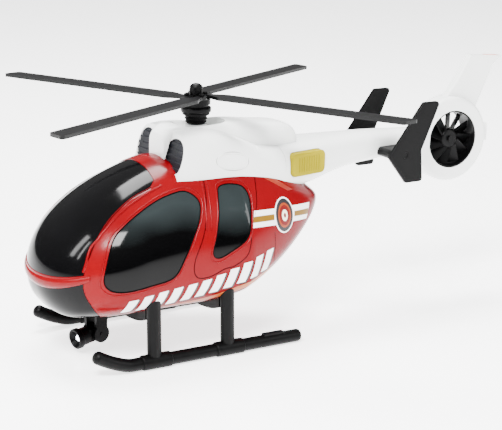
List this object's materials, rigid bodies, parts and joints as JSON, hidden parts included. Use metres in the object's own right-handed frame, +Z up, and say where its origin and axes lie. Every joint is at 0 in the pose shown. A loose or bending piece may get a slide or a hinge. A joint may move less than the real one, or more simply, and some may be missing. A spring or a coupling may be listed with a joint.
{
  "type": "toy_helicopter",
  "caption": "Toy rescue helicopter: red cabin with black glazing, white engine cowling and tail boom, folding rotor blades, ducted tail fan, skids, swivelling searchlight and a sound button.",
  "frame": {"origin": "On the ground under the middle of the toy's overall length, on its centre plane; the skids rest on z = 0.", "axes": "+X aft, the nose pointing to -X; +Y starboard; +Z up."},
  "size_m": [0.4156, 0.283, 0.1903],
  "materials": {
    "red": "glossy injection-moulded",
    "black_glass": "polished black glazing",
    "white": "glossy injection-moulded",
    "dark_grey": "satin",
    "black": "satin black",
    "yellow": "satin yellow",
    "steel": "bright zinc plated",
    "lamp_lens": "clear",
    "red_lens": "pale red translucent",
    "board_green": "solder mask",
    "soft_rubber": "moulded"
  },
  "bodies": {
    "airframe": {"fuselage_shell_port": "red", "fuselage_shell_starboard": "red", "battery_cover": "red", "windscreen": "black_glass", "chin_window": "black_glass", "front_side_window_port": "black_glass", "front_side_window_starboard": "black_glass", "rear_side_window_port": "black_glass", "rear_side_window_starboard": "black_glass", "engine_cowling": "white", "tail_boom_port": "white", "tail_boom_starboard": "white", "engine_inlet_port": "dark_grey", "engine_inlet_starboard": "dark_grey", "stabiliser_bar": "black", "end_plate_port": "black", "end_plate_starboard": "black", "tail_duct_liner": "black", "skid_tube_port": "black", "skid_tube_starboard": "black", "skid_leg_front_port": "black", "skid_leg_front_starboard": "black", "skid_leg_rear_port": "black", "skid_leg_rear_starboard": "black", "skid_saddle_front": "black", "skid_saddle_rear": "black", "battery_box": "black", "speaker": "black", "mast_tube": "black", "tail_fan_axle": "steel", "shell_screws": "steel", "boom_screws": "steel", "end_plate_screws": "steel", "battery_cover_screw": "steel", "battery_cells": "steel", "fin_tip_light": "red_lens", "circuit_board": "board_green", "button_switch_board": "board_green", "button_dome": "soft_rubber"},
    "rotor": {"rotor_shaft": "steel", "shaft_stop_ring": "steel", "rotor_hub": "black", "hinge_plate": "black", "blade_hinge_pins": "steel", "rotor_cap": "black"},
    "blade_a": {"rotor_blade_a": "black"},
    "blade_b": {"rotor_blade_b": "black"},
    "blade_c": {"rotor_blade_c": "black"},
    "blade_d": {"rotor_blade_d": "black"},
    "fan": {"tail_fan": "black"},
    "light_fork": {"searchlight_fork": "black", "searchlight_pin": "steel"},
    "light_head": {"searchlight_housing": "black", "searchlight_led": "lamp_lens"},
    "button": {"sound_button": "yellow"}
  },
  "joints": [
    {"name": "rotor_spin", "type": "hinge", "parent": "airframe", "child": "rotor", "pos_m": [-0.06635, 0, 0.15], "axis": [0, 0, 1], "continuous": true},
    {"name": "blade_a_fold", "type": "hinge", "parent": "rotor", "child": "blade_a", "pos_m": [-0.07386, -0.00022, 0.1746], "axis": [0, 0, 1], "range_deg": [-12, 12]},
    {"name": "blade_b_fold", "type": "hinge", "parent": "rotor", "child": "blade_b", "pos_m": [-0.06613, -0.00751, 0.1746], "axis": [0, 0, 1], "range_deg": [-12, 12]},
    {"name": "blade_c_fold", "type": "hinge", "parent": "rotor", "child": "blade_c", "pos_m": [-0.06657, 0.00751, 0.1746], "axis": [0, 0, 1], "range_deg": [-12, 12]},
    {"name": "blade_d_fold", "type": "hinge", "parent": "rotor", "child": "blade_d", "pos_m": [-0.05884, 0.00022, 0.1746], "axis": [0, 0, 1], "range_deg": [-12, 12]},
    {"name": "tail_fan_spin", "type": "hinge", "parent": "airframe", "child": "fan", "pos_m": [0.15775, 0, 0.1251], "axis": [0, 1, 0], "continuous": true},
    {"name": "searchlight_swivel", "type": "hinge", "parent": "airframe", "child": "light_fork", "pos_m": [-0.14475, 0, 0.03], "axis": [0, 0, 1], "range_deg": [-60, 60]},
    {"name": "searchlight_tilt", "type": "hinge", "parent": "light_fork", "child": "light_head", "pos_m": [-0.14475, 0, 0.0122], "axis": [-0.2079, 0.9781, 0], "range_deg": [-8, 25]},
    {"name": "button_press", "type": "slide", "parent": "airframe", "child": "button", "axis": [-0.1874, 0.9823, 0], "range_m": [0, 0.0018], "stiffness_N_per_m": 400}
  ]
}
